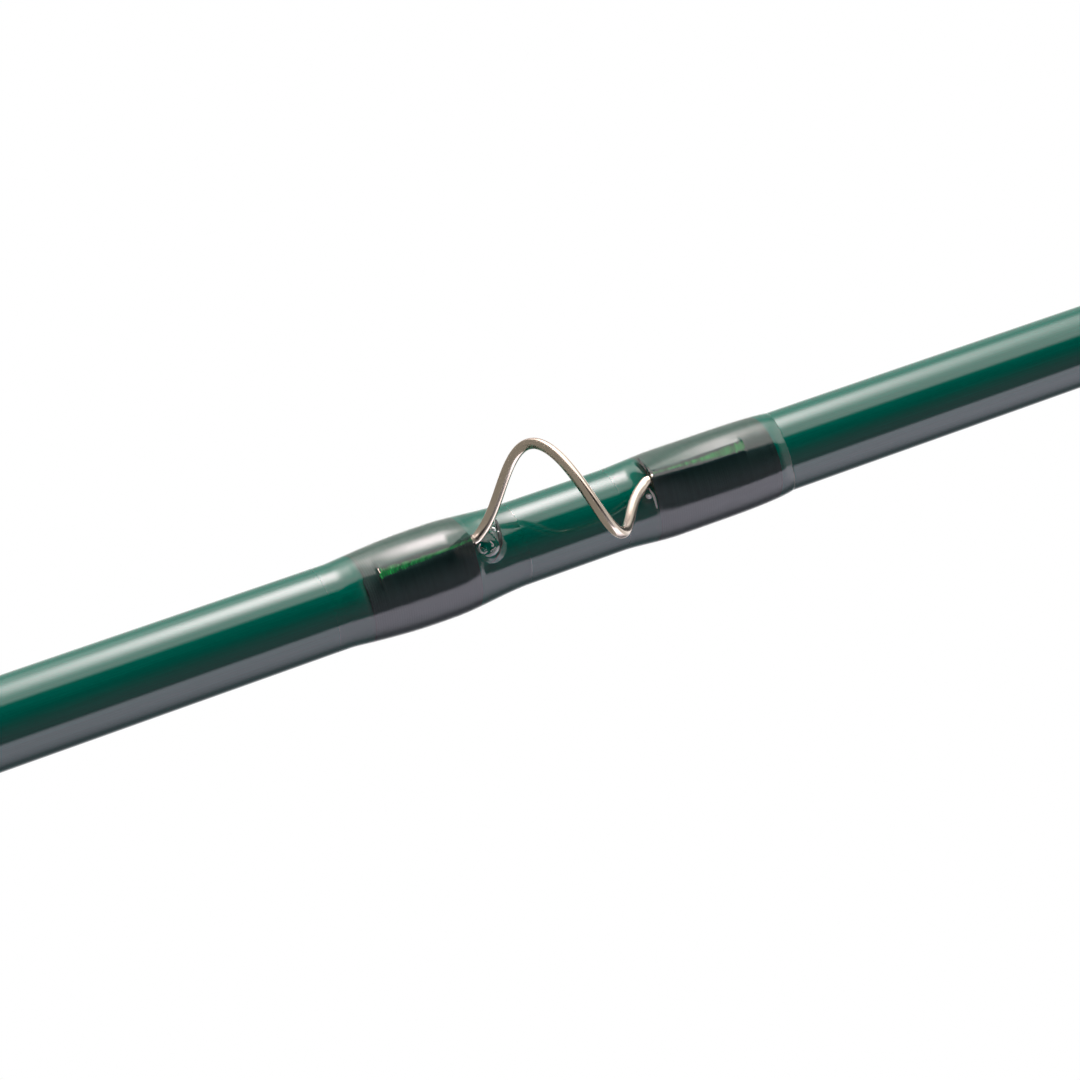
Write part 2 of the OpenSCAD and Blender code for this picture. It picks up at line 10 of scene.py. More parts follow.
import bpy
import numpy as np
from mathutils import Matrix, Vector

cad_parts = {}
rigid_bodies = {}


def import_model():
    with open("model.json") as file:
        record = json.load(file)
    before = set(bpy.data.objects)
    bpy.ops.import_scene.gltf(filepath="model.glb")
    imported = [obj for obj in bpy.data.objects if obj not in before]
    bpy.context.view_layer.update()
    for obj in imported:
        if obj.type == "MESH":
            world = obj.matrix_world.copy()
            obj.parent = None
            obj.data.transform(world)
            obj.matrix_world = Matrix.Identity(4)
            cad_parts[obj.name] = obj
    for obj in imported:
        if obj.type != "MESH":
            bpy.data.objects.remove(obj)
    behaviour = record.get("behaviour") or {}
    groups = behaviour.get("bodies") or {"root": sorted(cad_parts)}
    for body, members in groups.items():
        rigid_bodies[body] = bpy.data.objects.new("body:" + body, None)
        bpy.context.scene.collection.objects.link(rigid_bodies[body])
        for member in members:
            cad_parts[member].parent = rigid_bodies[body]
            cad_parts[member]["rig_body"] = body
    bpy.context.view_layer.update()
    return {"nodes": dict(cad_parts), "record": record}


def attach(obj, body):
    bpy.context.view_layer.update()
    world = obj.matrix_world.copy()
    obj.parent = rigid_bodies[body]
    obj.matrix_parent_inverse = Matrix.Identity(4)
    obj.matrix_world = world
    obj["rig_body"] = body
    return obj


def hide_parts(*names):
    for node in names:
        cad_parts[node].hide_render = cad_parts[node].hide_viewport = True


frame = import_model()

random = np.random.default_rng(7)  # every draw comes from here, in order, but for those of the clouds of tiny bubbles

MM = 0.001
NEAR = 0.01  # heights closer than this count as the same
OUTWARD = np.array([0.0, -1.0, 0.0])  # away from the blank on the guides' side
SHARP_ANGLE = math.radians(40)  # edges steeper than this stay sharp

# How finely the rod is meshed, for the largest snake guide (True) and for the others (False)
AROUND = 192  # points round the blank
WIRE_DETAIL = {True: (160, 28), False: (64, 12)}  # rows along the bent wire, points round it
THREAD_DETAIL = {True: (200, 6), False: (40, 3)}  # points round a turn, faces across it
COAT_DETAIL = {True: (240, 0.12), False: (40, 0.8)}  # points round the finish, step along it
PLAIN_THREAD_DETAIL = (48, 3)
PLAIN_COAT_DETAIL = (48, 0.5)

# The view of the close-up. CAMERA_WAY points level from the rod towards the camera, and UP_WAY across the
# rod, to the picture's upper side.
VIEW_AZIMUTH = math.radians(19)
VIEW_ELEVATION = math.radians(-19)
VIEW_ROLL = math.radians(19.28)
HALF_VIEW = math.radians(9.18)
VIEW_DISTANCE = 250.0
VIEW_OFFSET = (0.32, 0.11, -1.17)  # what the camera looks at, from the axis beside the guide's middle
CAMERA_WAY = Vector((math.sin(VIEW_AZIMUTH), -math.cos(VIEW_AZIMUTH), 0))
UP_WAY = Vector((-math.cos(VIEW_AZIMUTH), -math.sin(VIEW_AZIMUTH), 0))

THREAD_PITCH = 0.19
THREAD_HEIGHT = 0.11
THREAD_CROWN = 0.04  # share of its height that a turn is rounded by
STRIP_EDGE = 0.08  # width over which the thread stops touching the metal
STRIP_VARIES = (0.75, 1.15)  # least and greatest share of its half width that a turn may have
COVERED_THREAD = THREAD_HEIGHT + 0.02  # the least height of the finish over a wrap

# The largest snake guide, in its own sizes. The other guides are smaller copies. -1 is its lower side and
# 1 its upper side.
LARGEST_GUIDE = "lower_mid_snake_guide"
SNAKE_WIRE_R = 0.42
SNAKE_HALF_SPAN = 7.12
SNAKE_SIDEWAYS = (-3.94, 0.86, 0.18)  # the wire's first three waves sideways
SNAKE_MIDDLE_HEIGHT = 3.34
SNAKE_RISE = 2.85
SNAKE_LAG = (0.90, 0.17)  # its first two waves along the rod
SNAKE_ROOT = 7.37  # where a foot starts, from the guide's middle
SNAKE_FOOT = {-1: 7.5, 1: 8.2}  # length of each foot
SNAKE_REACH = 25  # no wrap of a guide is further than this from its middle
FOOT_FALL = {-1: 3.4, 1: 2.2}  # how quickly each foot loses its height from root to toe
FOOT_OFF = {-1: 0.03, 1: 0.22}  # how far each foot lies towards -X
ROOT_LEAN = 0.55  # how steeply a foot leaves its wire sideways
ROOT_BEND = 0.45  # length over which that dies out
OFF_LENGTH = 1.5  # length over which a foot reaches its place sideways
TOE_HEIGHT = 0.16
TOE_HALF_WIDTH = 0.5
STRIP_ROOT = 0.04  # half width of the thread that lies on a foot, at its root
STRIP_GROWTH = 0.30  # and how much wider it is at the toe

# The clear finish
ROOT_SINK = 0.003  # a coat starts this deep inside the blank, so that it rises out of it without a line
ROOT_LENGTH = 2.0  # length over which it rises
COAT_UNDER = 0.05  # how deep inside the blank a coat's unseen inside lies
COAT_EDGE = 0.01  # length of the steep rows at both ends of a coat
DRAW_LENGTH = 1.6  # length over which a drawn-back end of a coat leans
FOOT_COVER = 0.05  # finish over the metal of a foot, besides the thread
LEAST_HUMP = {-1: 0.2, 1: 0.08}  # how much higher the finish is over each foot, at least
HUMP_SPREAD = math.radians(18)  # how far round the blank it spreads from the top of a foot
WIRE_DEPTH = 0.45  # how far up the rising wire the coat climbs
UPPER_DRAW = 0.55  # how far the upper coat of the largest guide is drawn back at the front
HUMP_FILLET = 0.04  # how far the finish rounds the corner beside a hump
PLAIN_FILLET = 0.10  # and beside a foot with no hump
HUMP_LEAD = 1.3  # length over which a hump rises towards the wire
HUMP_TAIL = 3.0  # length over which it fades at the toe
HUMP_TAIL_SHARE = 0.6  # share of that fade which lies past the toe
WIRE_CLIMB = 0.2  # length over which the finish comes down from the wire to the foot

# The finish beside each foot of the largest guide: its height, and the distances from the guide's middle
# where it starts and where it starts to thin
COAT_HEIGHT = {-1: 0.44, 1: 0.27}
COAT_START = {-1: 3.0, 1: 4.6}
COAT_RISE = {-1: 6.5, 1: 5.0}  # length over which it reaches that height
COAT_THIN = {-1: 10.5, 1: 13.5}
COAT_FADE = {-1: 7.0, 1: 6.0}  # length over which it thins
COAT_END = {-1: 18.9, 1: 19.5}
COAT_RUN = {-1: 0.03, 1: 0.06}  # height that has run from -X to +X
COAT_MIDDLE = 12

# Every other wrap: the rod's body, the node of its thread and the node of its finish
PLAIN_WRAPS = (
    ("butt_section", "butt_wraps", "butt_finish"),
    ("lower_mid_section", "lower_mid_ferrule_wrap", "lower_mid_ferrule_finish"),
    ("lower_mid_section", "stripper_wraps", "stripper_finish"),
    ("upper_mid_section", "upper_mid_ferrule_wrap", "upper_mid_ferrule_finish"),
    ("tip_section", "tip_ferrule_wrap", "tip_ferrule_finish"),
)
PLAIN_TOE = 1.5  # thread past the toe of a foot
PLAIN_FOOT_HALF_WIDTH = 0.95
PLAIN_SWELL = 0.16
PLAIN_COAT_EDGE = 2.6  # length of the rounded ends of a plain coat
LEAST_CREST = 0.2  # a wrap whose ridge is lower than this has no foot under it
COAT_BEYOND = 0.5  # a coat that goes this far past its thread has the foot's toe on that side

# Trapped air beside the wire of the largest guide: sideways, distance below its middle, radius
BUBBLES = (
    (0.79, 6.80, 0.26),
    (1.10, 6.15, 0.22),
    (-0.40, 5.42, 0.20),
    (0.30, 5.60, 0.13),
    (1.15, 6.30, 0.12),
    (-0.10, 5.15, 0.09),
)
BUBBLE_LIFT = 0.3
BUBBLE_RIM = (0.79, -6.80, 0.35)  # a painted highlight round the largest bubble: sideways, from the middle, radius
RIM_HALF_WIDTH = 0.075

# Streaks of painted shade (dark) and painted highlight (pale) on the finish of the largest guide beside
# its wire: the side, the tone, half width and points (sideways, from the guide's middle)
STREAKS = (
    (-1, "dark", 0.17, (
        (-1.31, -4.74), (-0.6, -4.9), (0.03, -5.11), (0.52, -5.3), (0.86, -5.36), (1.15, -5.55),
    )),
    (-1, "dark", 0.07, ((1.0, -5.45), (1.3, -5.65), (1.66, -6.1), (1.75, -6.5))),
    (-1, "pale", 0.13, ((0.94, -5.56), (1.2, -5.86), (1.34, -6.2), (1.38, -6.55), (1.3, -6.85))),
    (-1, "pale", 0.05, ((0.45, -6.15), (0.75, -6.0), (0.95, -6.05))),
    (1, "dark", 0.085, ((-0.3, 7.26), (-0.97, 7.37), (-1.66, 7.55), (-2.22, 7.77), (-2.5, 7.9))),
    (1, "dark", 0.04, ((-0.35, 7.5), (-0.7, 7.55), (-0.95, 7.6))),
    (1, "pale", 0.12, ((0.53, 7.1), (1.0, 7.24), (1.41, 7.27), (2.03, 7.29))),
    (1, "pale", 0.22, ((0.95, 6.68), (1.05, 6.9), (1.15, 7.12))),
)
STREAK_STEPS = 48
STREAK_SOFTNESS = 11  # points that each point of a streak is averaged over
STREAK_FLATNESS = 0.35

# Clouds of tiny bubbles: sideways, from the guide's middle, extent both ways, count, radius
FROTH = ((1.1, -6.2, 0.35, 0.3, 12, 0.05), (-0.3, -5.6, 0.3, 0.3, 9, 0.06))
FROTH_SEED = 4
# A thick drop of finish: sideways, from the guide's middle, half width, half length, height
RESIN_DROP = (0.45, -6.1, 1.25, 1.2, 0.4)

# Lights as bands round the rod: where each starts and is full, where it starts to fade and is gone, in
# degrees from the camera towards the picture's upper side, and its strength
KEY = (54, 83, 84, 109, 13.8)
SKY = (34, 45, 100, 128, 2.5)
FAR_SKY = (102, 124, 181, 182, 0.62)
TABLE = (-134, -76, -58, -48, 2.5)
FAR_TABLE = (-182, -181, -115, -90, 0.2)
GLOW = (-80, -55, -45, 12, 0.4)
KEY_TINT = (1.1, 0.95, 0.97)
SKY_TINT = (1.12, 1.02, 1)
TABLE_TINT = (1.04, 1, 1.15)
COOL_TINT = (1, 1, 1.1)
ROOM_TINT = (1, 0.98, 0.95)
BACK = (142, 168, 0.7)  # behind the rod: where it starts and is full, and its strength
KEY_RISE = 17.3  # degrees above level
KEY_SPREAD = 5.5
SKY_SLANT = 0.5  # degrees that the sky's edge turns for each degree of rise
SKY_TURN = 7.0
BAND_RISE = 20.0  # degrees above level of the middle of the sky and the table
BAND_EDGE = (38, 22)  # degrees from there where they are gone and full
ROOM_EDGE = (13, 28)  # degrees from there where the room starts and is full
ROOM = 0.8
# What lights the matt surfaces: tint, degrees towards the picture's upper side, narrowness, strength
LAMPS = (((1, 1, 0.85), 78.0, 14.0, 2.7), ((1, 1, 1.1), -165.0, 7.0, 0.8))
AMBIENT = (0.03, 0.038, 0.056)

FLOOR_RADII = (0.0, 1.0, 5.0, 60.0)  # in metres


# ---- Meshes ----


def grid_faces(rows, columns, start=0):
    """Quads of a grid of points, row after row, with the last column joined to the first."""
    i = np.arange(rows - 1)[:, None]
    j = np.arange(columns)[None, :]
    a = i * columns + j
    b = i * columns + (j + 1) % columns
    return start + np.stack([a, b, b + columns, a + columns], -1).reshape(-1, 4)


class Pile:
    """Collects grids of points into one mesh object."""

    def __init__(self):
        self.points = []
        self.faces = []
        self.values = {}
        self.count = 0

    def grid(self, points, cap=False, **values):
        """points is (rows, columns, 3). values are point attributes, one number or one array each."""
        rows, columns = points.shape[:2]
        self.faces += grid_faces(rows, columns, self.count).tolist()
        if cap:
            first = np.arange(columns) + self.count
            last = first + (rows - 1) * columns
            self.faces += [first[::-1].tolist(), last.tolist()]
        self.points.append(points.reshape(-1, 3))
        size = rows * columns
        for name, value in values.items():
            filled = np.broadcast_to(value, (rows, columns)).reshape(-1)
            self.values.setdefault(name, []).append((self.count, filled))
        self.count += size

    def make(self, name, material, body, node):
        """Makes the piece, which rides on body and is seen in place of the CAD node."""
        mesh = bpy.data.meshes.new(name)
        points = np.concatenate(self.points) * MM
        mesh.from_pydata(points.tolist(), [], self.faces)
        mesh.shade_smooth()
        mesh.set_sharp_from_angle(angle=SHARP_ANGLE)
        for key, parts in self.values.items():
            whole = np.zeros(self.count, np.float32)
            for at, value in parts:
                whole[at : at + len(value)] = value
            mesh.attributes.new(key, "FLOAT", "POINT").data.foreach_set("value", whole)
        mesh.materials.append(material)
        made = bpy.data.objects.new(name, mesh)
        bpy.context.scene.collection.objects.link(made)
        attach(made, body)
        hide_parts(node)


def round_rod(radii, heights, angles):
    """Points at each angle and height. radii is one number per row, or a (rows, columns) array."""
    radii = np.asarray(radii, float)
    heights = np.asarray(heights, float)
    if radii.ndim == 1:
        radii = radii[:, None]
    if heights.ndim == 1:
        heights = heights[:, None]
    x = radii * np.sin(angles)
    y = -radii * np.cos(angles)
    return np.stack([x, y, np.broadcast_to(heights, x.shape)], -1)


def even_angles(count):
    return np.linspace(0, 2 * math.pi, count, endpoint=False)


def signed_angles(angles):
    """The same angles, from -pi to pi."""
    return (angles + math.pi) % (2 * math.pi) - math.pi


def ease(x):
    x = min(1, max(0, x))
    return x * x * (3 - 2 * x)


# ---- What the CAD says ----


def node_points(node):
    mesh = frame["nodes"][node].data
    points = np.zeros(len(mesh.vertices) * 3)
    mesh.vertices.foreach_get("co", points)
    return points.reshape(-1, 3) / MM


def body_of(node):
    return frame["nodes"][node]["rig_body"]


def spans(node):
    """The (low, high) stretches of the rod that the separate solids of a node cover."""
    heights = node_points(node)[:, 2]
    faces = [heights[list(f.vertices)] for f in frame["nodes"][node].data.polygons]
    found = []
    for low, high in sorted((h.min(), h.max()) for h in faces):
        if found and low <= found[-1][1] + NEAR:
            found[-1][1] = max(found[-1][1], high)
        else:
            found.append([low, high])
    return [(float(low), float(high)) for low, high in found]


class Section:
    """One blank section: its outside is a straight cone. coated lists the stretches under finish."""

    def __init__(self, node):
        points = node_points(node)
        self.node = node
        self.body = body_of(node)
        self.low, self.high = points[:, 2].min(), points[:, 2].max()
        radii = np.hypot(points[:, 0], points[:, 1])
        thinnest_wall = 0.1
        self.low_r = radii[points[:, 2] < self.low + NEAR].max()
        self.high_r = radii[points[:, 2] > self.high - NEAR].max()
        rings = {
            (round(r, 2), round(z, 2))
            for r, z in zip(radii, points[:, 2])
            if r < self.r(z) - thinnest_wall
        }
        self.inside = sorted(rings, key=lambda ring: (-ring[1], ring[0]))
        self.coated = []

    def r(self, z):
        share = (z - self.low) / (self.high - self.low)
        return self.low_r + (self.high_r - self.low_r) * share


sections = {
    body_of(n): Section(n)
    for n in ("butt_blank", "lower_mid_blank", "upper_mid_blank", "tip_blank")
}


# ---- Feet: what a wrap has to climb over ----


def flat_foot(low, high, half_width, height, corner):
    """A plain foot between two heights, as circles at its two upper corners.

    A circle is its place sideways, the height of its centre above the blank and its radius.
    """

    def circles(z):
        if not low <= z <= high:
            return []
        x = half_width - corner
        return [(x, height - corner, corner), (-x, height - corner, corner)]

    return circles


def no_foot(z):
    return []


def snake_path(u, scale):
    """Centre of the wire at u from -1 to 1: sideways, above the blank, along the rod."""
    turn = math.pi * (u + 1)
    side = sum(size * np.sin(wave * turn) for wave, size in enumerate(SNAKE_SIDEWAYS, 1))
    height = SNAKE_MIDDLE_HEIGHT - SNAKE_RISE * np.cos(turn)
    lag = sum(size * np.sin(wave * math.pi * u) for wave, size in enumerate(SNAKE_LAG, 1))
    return side * scale, height * scale, (SNAKE_HALF_SPAN * u - lag) * scale


def foot_shape(share, side):
    """Half width and height of a snake guide's ground foot, from its root (0) to its toe (1)."""
    half_width = SNAKE_WIRE_R + (TOE_HALF_WIDTH - SNAKE_WIRE_R) * np.minimum(1, share * 2)
    height = TOE_HEIGHT + (2 * SNAKE_WIRE_R - TOE_HEIGHT) * (1 - share) ** FOOT_FALL[side]
    return half_width, height


def snake_foot(centre, side, scale):
    """Foot of the snake guide at centre, on its lower (-1) or upper (1) side."""

    def circles(z):
        x = side * (z - centre) / scale - SNAKE_ROOT
        if not 0 <= x <= SNAKE_FOOT[side]:
            return []
        half_width, height = foot_shape(x / SNAKE_FOOT[side], side)
        corner = min(half_width, height) * 0.5
        place = (half_width - corner) * scale
        middle = (height - corner) * scale
        corner *= scale
        off = FOOT_OFF[side] * scale
        return [(place - off, middle, corner), (-place - off, middle, corner)]

    return circles


HULL_STEPS = np.linspace(-math.pi, math.pi, 721)[:-1]  # half a degree apart


def hull_radius(angles, radius, circles, grow=0.0):
    """Distance from the axis to a thread pulled tight round the blank and the circles that stand on it.

    grow is added to the circles.
    """
    reach = np.full(HULL_STEPS.shape, radius)
    for x, height, r in circles:
        y = radius + height
        far = x * np.sin(HULL_STEPS) + y * np.cos(HULL_STEPS) + r + grow
        reach = np.maximum(reach, far)
    if not circles:
        return np.full(len(angles), radius)
    lean = np.cos(HULL_STEPS[None, :] - np.asarray(angles)[:, None])
    distance = np.where(lean > 0.05, reach[None, :] / np.maximum(lean, 0.05), np.inf)
    return distance.min(1)


# ---- Thread ----


def touching(middle, centre, side, scale):
    """Half width of the strip of thread that lies on the metal of a snake's foot, at height middle."""
    share = (side * (middle - centre) / scale - SNAKE_ROOT) / SNAKE_FOOT[side]
    if not 0 <= share <= 1:
        return 0
    return (STRIP_ROOT + STRIP_GROWTH * share**1.6) * scale


def add_wrap(pile, section, low, high, foot, around, ridge, contact=None, contact_off=0.0):
    """Thread wound as one helix from low to high. Each turn is a ridge of that many faces.

    contact gives the half width of the strip that lies on metal, and contact_off how far it is towards -X.
    """
    turns = max(2, int(round((high - low) / THREAD_PITCH)))
    pitch = (high - low) / turns
    angles = even_angles(around)
    signed = signed_angles(angles)
    across = np.linspace(0, 1, ridge + 1)
    for turn in range(turns):
        z = low + (turn + across[:, None] + angles[None, :] / (2 * math.pi)) * pitch
        z = np.clip(z, low, high)
        middle = low + (turn + 0.5) * pitch
        base = hull_radius(angles, section.r(middle), foot(middle))
        crown = np.sqrt(1 - (2 * across[:, None] - 1) ** 2)
        bump = THREAD_HEIGHT * (1 - THREAD_CROWN + THREAD_CROWN * crown)
        # Where a turn lies on a foot's metal, on the guide's side, its thread gets the metal's painted
        # reflection, strongest on the crown of each turn.
        over = np.zeros(around)
        if contact and contact(middle) > 0:
            half = contact(middle) * random.uniform(*STRIP_VARIES)
            sideways = section.r(middle) * np.sin(signed) + contact_off
            over = np.clip((half - np.abs(sideways)) / STRIP_EDGE + 0.5, 0, 1) * (np.cos(signed) > 0)
        pile.grid(
            round_rod(base[None, :] + bump, z, angles),
            over_foot=over[None, :] * (0.1 + 0.9 * crown**5),
            turn_tint=random.uniform(0, 1),
        )


# ---- Clear finish ----


def snake_coat(t, side):
    """Height of the finish at t from a snake's middle.

    The lower one swells near the wire and thins over the foot. The upper one is level, with a thin lip.
    """
    height = COAT_HEIGHT[side] * ease((t - COAT_START[side]) / COAT_RISE[side])
    past = max(0, t - COAT_THIN[side]) / COAT_FADE[side]
    if side < 0:
        fall = math.cos(math.radians(90 * past))
        return height * (fall + math.sqrt(fall * fall + 0.004)) / 2
    return height * (1 - min(1, past) ** 2.5) ** 0.7


def drop(x, z, around_x, around_z, width, length, height):
    """A steep-sided drop of resin on the coat."""
    near = 1 - ((x - around_x) / width) ** 2 - ((z - around_z) / length) ** 2
    return height * np.clip(near, 0, 1) ** 0.5


def bell(angle, spread):
    return np.exp(-0.5 * (angle / spread) ** 2)


def coat_ring(section, z, signed, plain, circles, hump, hump_at):
    """How far the finish stands off the blank at height z, at each angle.

    plain is its height where nothing is under it. hump is how much more it stands over a foot, and hump_at
    the angle of the hump's middle.
    """
    off = plain + hump * bell(signed - hump_at, HUMP_SPREAD)
    if not circles:
        return off
    radius = section.r(z)
    tight = hull_radius(signed, radius, circles, COVERED_THREAD) - radius
    soft = HUMP_FILLET if hump else PLAIN_FILLET
    return soft * np.log(np.exp(off / soft) + np.exp(tight / soft) - 1)


def no_hump(z):
    return 0.0, 0.0


def over_thread(plain, z, low, high):
    """The finish's height at z, raised where it has to cover the thread from low to high."""
    margin = 0.1
    return max(plain, COVERED_THREAD) if low - margin < z < high + margin else plain


def coat_rows(start, end, step):
    """Heights from start to end, closer together near both ends."""
    count = max(8, int((end - start) / step))
    share = np.linspace(0, 1, count + 1)
    share = (share + (1 - np.cos(math.pi * share)) / 2) / 2
    rows = start + (end - start) * share
    return np.sort(np.concatenate([rows, [start + COAT_EDGE, end - COAT_EDGE]]))


def add_coat(
    pile, section, start, end, profile, foot, around, step, sag=0.0, drops=(), draw=0.0, swell=no_hump
):
    """A closed coat of clear resin from start to end. profile is its height where nothing is under it.

    sag is how much the coat has run from -X to +X, as a share of its height. draw is how far its upper end
    is drawn back at the front. swell gives the hump over a foot and its angle.
    """
    angles = even_angles(around)
    signed = signed_angles(angles)
    front = np.clip(np.cos(signed - VIEW_AZIMUTH), 0, 1)
    outer = []
    for z in coat_rows(start, end, step):
        off = coat_ring(section, z, signed, profile(z), foot(z), *swell(z))
        off = off * (1 + sag * np.sin(signed))
        for size in drops:
            x = section.r(z) * np.sin(signed)
            off = off + drop(x, z, *size) * (np.cos(signed) > 0)
        back = draw * ease((z - end) / DRAW_LENGTH + 1) * front
        outer.append(round_rod((section.r(z) + off)[None, :], (z - back)[None, :], angles)[0])
    inner = [
        round_rod([section.r(z) - COAT_UNDER], (z - shift)[None, :], angles)[0]
        for z, shift in ((end, draw * front), (start, 0 * front))
    ]
    outer = np.array(outer)
    pile.grid(np.concatenate([outer, np.array(inner), outer[:1]]))
    proud = [z for z in np.linspace(start, end, 2000) if profile(z) > 0]
    section.coated.append((proud[0], proud[-1], draw))


def on_rod(section, x, z, lift):
    """A point lift above the blank at -Y, x sideways."""
    reach = section.r(z) + lift
    return [x, -math.sqrt(reach**2 - x**2), z]


def add_streak(pile, section, centre, points, half_width, lift):
    """A thin streak on the coat through points (sideways, from the guide's middle).

    lift is the coat's height at such a point.
    """
    points = np.array(points)
    share = np.linspace(0, 1, len(points))
    fine = np.linspace(0, 1, STREAK_STEPS)
    window = np.hanning(STREAK_SOFTNESS) / np.hanning(STREAK_SOFTNESS).sum()
    soft = [np.interp(fine, share, points[:, i]) for i in (0, 1)]
    soft = [np.pad(row, STREAK_SOFTNESS // 2, mode="edge") for row in soft]
    soft = [np.convolve(row, window, "valid") for row in soft]
    centres = np.array([on_rod(section, x, centre + z, lift(x, centre + z)) for x, z in zip(*soft)])
    widths = half_width * np.sqrt(np.sin(np.pi * (0.02 + 0.96 * fine)))
    pile.grid(sweep(centres, widths, STREAK_FLATNESS * widths, OUTWARD, 10), cap=True)


def add_bubble(pile, centre, radius):
    """A small sphere that faces inwards, so that it is a hollow where the pile is resin."""
    pole = 0.02
    rings, sides = 13, 20
    turns = np.linspace(pole, math.pi - pole, rings)
    around = even_angles(sides)
    x = radius * np.sin(turns)[:, None] * np.cos(around)
    y = radius * np.sin(turns)[:, None] * np.sin(around)
    z = np.broadcast_to(radius * np.cos(turns)[:, None], x.shape)
    pile.grid(np.stack([x, y, z], -1) + np.array(centre), cap=True)


# ---- Snake guides ----


def sweep(centres, widths, heights, outward, around):
    """Points of a bar swept along centres. Its section starts and ends level with outward."""
    way = np.gradient(centres, axis=0)
    way /= np.linalg.norm(way, axis=1)[:, None]
    frames = [outward - way[0] * way[0].dot(outward)]
    for w in way[1:]:
        out = frames[-1] - w * w.dot(frames[-1])
        frames.append(out / np.linalg.norm(out))
    frames = np.array(frames)
    last_side = np.cross(frames[-1], way[-1])
    wanted = outward - way[-1] * way[-1].dot(outward)
    twist = math.atan2(wanted.dot(last_side), wanted.dot(frames[-1]))
    spin = twist * np.linspace(0, 1, len(centres))[:, None]
    sides = np.cross(frames, way)
    out = frames * np.cos(spin) + sides * np.sin(spin)
    side = np.cross(out, way)
    angles = even_angles(around)[None, :, None]
    return (
        centres[:, None, :]
        + side[:, None, :] * widths[:, None, None] * np.cos(angles)
        + out[:, None, :] * heights[:, None, None] * np.sin(angles)
    )


def snake_rows(section, centre, scale, steps):
    """Centre line, half widths and half heights of a snake guide from toe to toe."""
    shares = np.linspace(0.98, 0, 24)
    rows = []
    for side in (-1, 1):
        foot = []
        for share in shares:
            half_width, height = foot_shape(share, side)
            behind = SNAKE_FOOT[side] * share
            along = side * (SNAKE_ROOT + behind) * scale
            lean = ROOT_LEAN * behind * math.exp(-behind / ROOT_BEND)
            lean += FOOT_OFF[side] * min(1, behind / OFF_LENGTH)
            base = section.r(centre + along)
            point = [-lean * scale, -(base + height / 2 * scale), centre + along]
            foot.append((point, half_width * scale, height / 2 * scale))
        rows.append(foot)
    wire = []
    for u in np.linspace(-1, 1, steps + 1)[1:-1]:
        x, height, along = snake_path(u, scale)
        point = [x, -(section.r(centre + along) + height), centre + along]
        wire.append((point, SNAKE_WIRE_R * scale, SNAKE_WIRE_R * scale))
    whole = rows[0] + wire + rows[1][::-1]
    return [np.array(column, float) for column in zip(*whole)]


def add_snake(pile, section, centre, scale, steps, around):
    centres, widths, heights = snake_rows(section, centre, scale, steps)
    pile.grid(sweep(centres, widths, heights, OUTWARD, around), cap=True)


def snake_guides(node):
    """(middle, scale) of each snake guide in a CAD node."""
    below, above = SNAKE_ROOT + SNAKE_FOOT[-1], SNAKE_ROOT + SNAKE_FOOT[1]
    scales = [(high - low) / (below + above) for low, high in spans(node)]
    return [(low + below * scale, scale) for (low, _), scale in zip(spans(node), scales)]


# ---- Nodes and shaders ----


def add(tree, kind, inputs=(), **settings):
    """A new node. inputs are its sockets' values or the sockets they come from."""
    made = tree.nodes.new(kind)
    for name, value in settings.items():
        setattr(made, name, value)
    for key, value in dict(inputs).items():
        if isinstance(value, bpy.types.NodeSocket):
            tree.links.new(value, made.inputs[key])
        else:
            made.inputs[key].default_value = value
    return made


def calc(tree, operation, *values, clamp=False):
    return add(
        tree, "ShaderNodeMath", dict(enumerate(values)), operation=operation, use_clamp=clamp
    ).outputs[0]


def dot(tree, a, b):
    return add(tree, "ShaderNodeVectorMath", {0: a, 1: b}, operation="DOT_PRODUCT").outputs["Value"]


def smooth(tree, value, low, high, to_low=0.0, to_high=1.0):
    """A soft step from to_low to to_high as value goes from low to high."""
    inputs = {
        "Value": value,
        "From Min": low,
        "From Max": high,
        "To Min": to_low,
        "To Max": to_high,
    }
    return add(tree, "ShaderNodeMapRange", inputs, interpolation_type="SMOOTHSTEP").outputs[0]


def mix_colour(tree, share, a, b):
    made = add(tree, "ShaderNodeMix", data_type="RGBA")
    for index, value in ((0, share), (6, a), (7, b)):
        if isinstance(value, bpy.types.NodeSocket):
            tree.links.new(value, made.inputs[index])
        else:
            made.inputs[index].default_value = value
    return made.outputs[2]


def new_material(name):
    made = bpy.data.materials.new(name)
    made.use_nodes = True
    tree = made.node_tree
    shader = tree.nodes["Principled BSDF"]
    return made, tree, shader


def colour(r, g, b):
    return (r, g, b, 1.0)


def noise(tree, scale, detail=3.0, stretch=None, roughness=0.5):
    vector = add(tree, "ShaderNodeTexCoord").outputs["Object"]
    if stretch:
        vector = add(tree, "ShaderNodeMapping", {"Vector": vector, "Scale": stretch}).outputs[0]
    inputs = {"Vector": vector, "Scale": scale, "Detail": detail, "Roughness": roughness}
    return add(tree, "ShaderNodeTexNoise", inputs).outputs["Fac"]


def set_bump(tree, shader, height, strength, distance):
    bump = add(
        tree, "ShaderNodeBump", {"Height": height, "Strength": strength, "Distance": distance}
    )
    tree.links.new(bump.outputs[0], shader.inputs["Normal"])


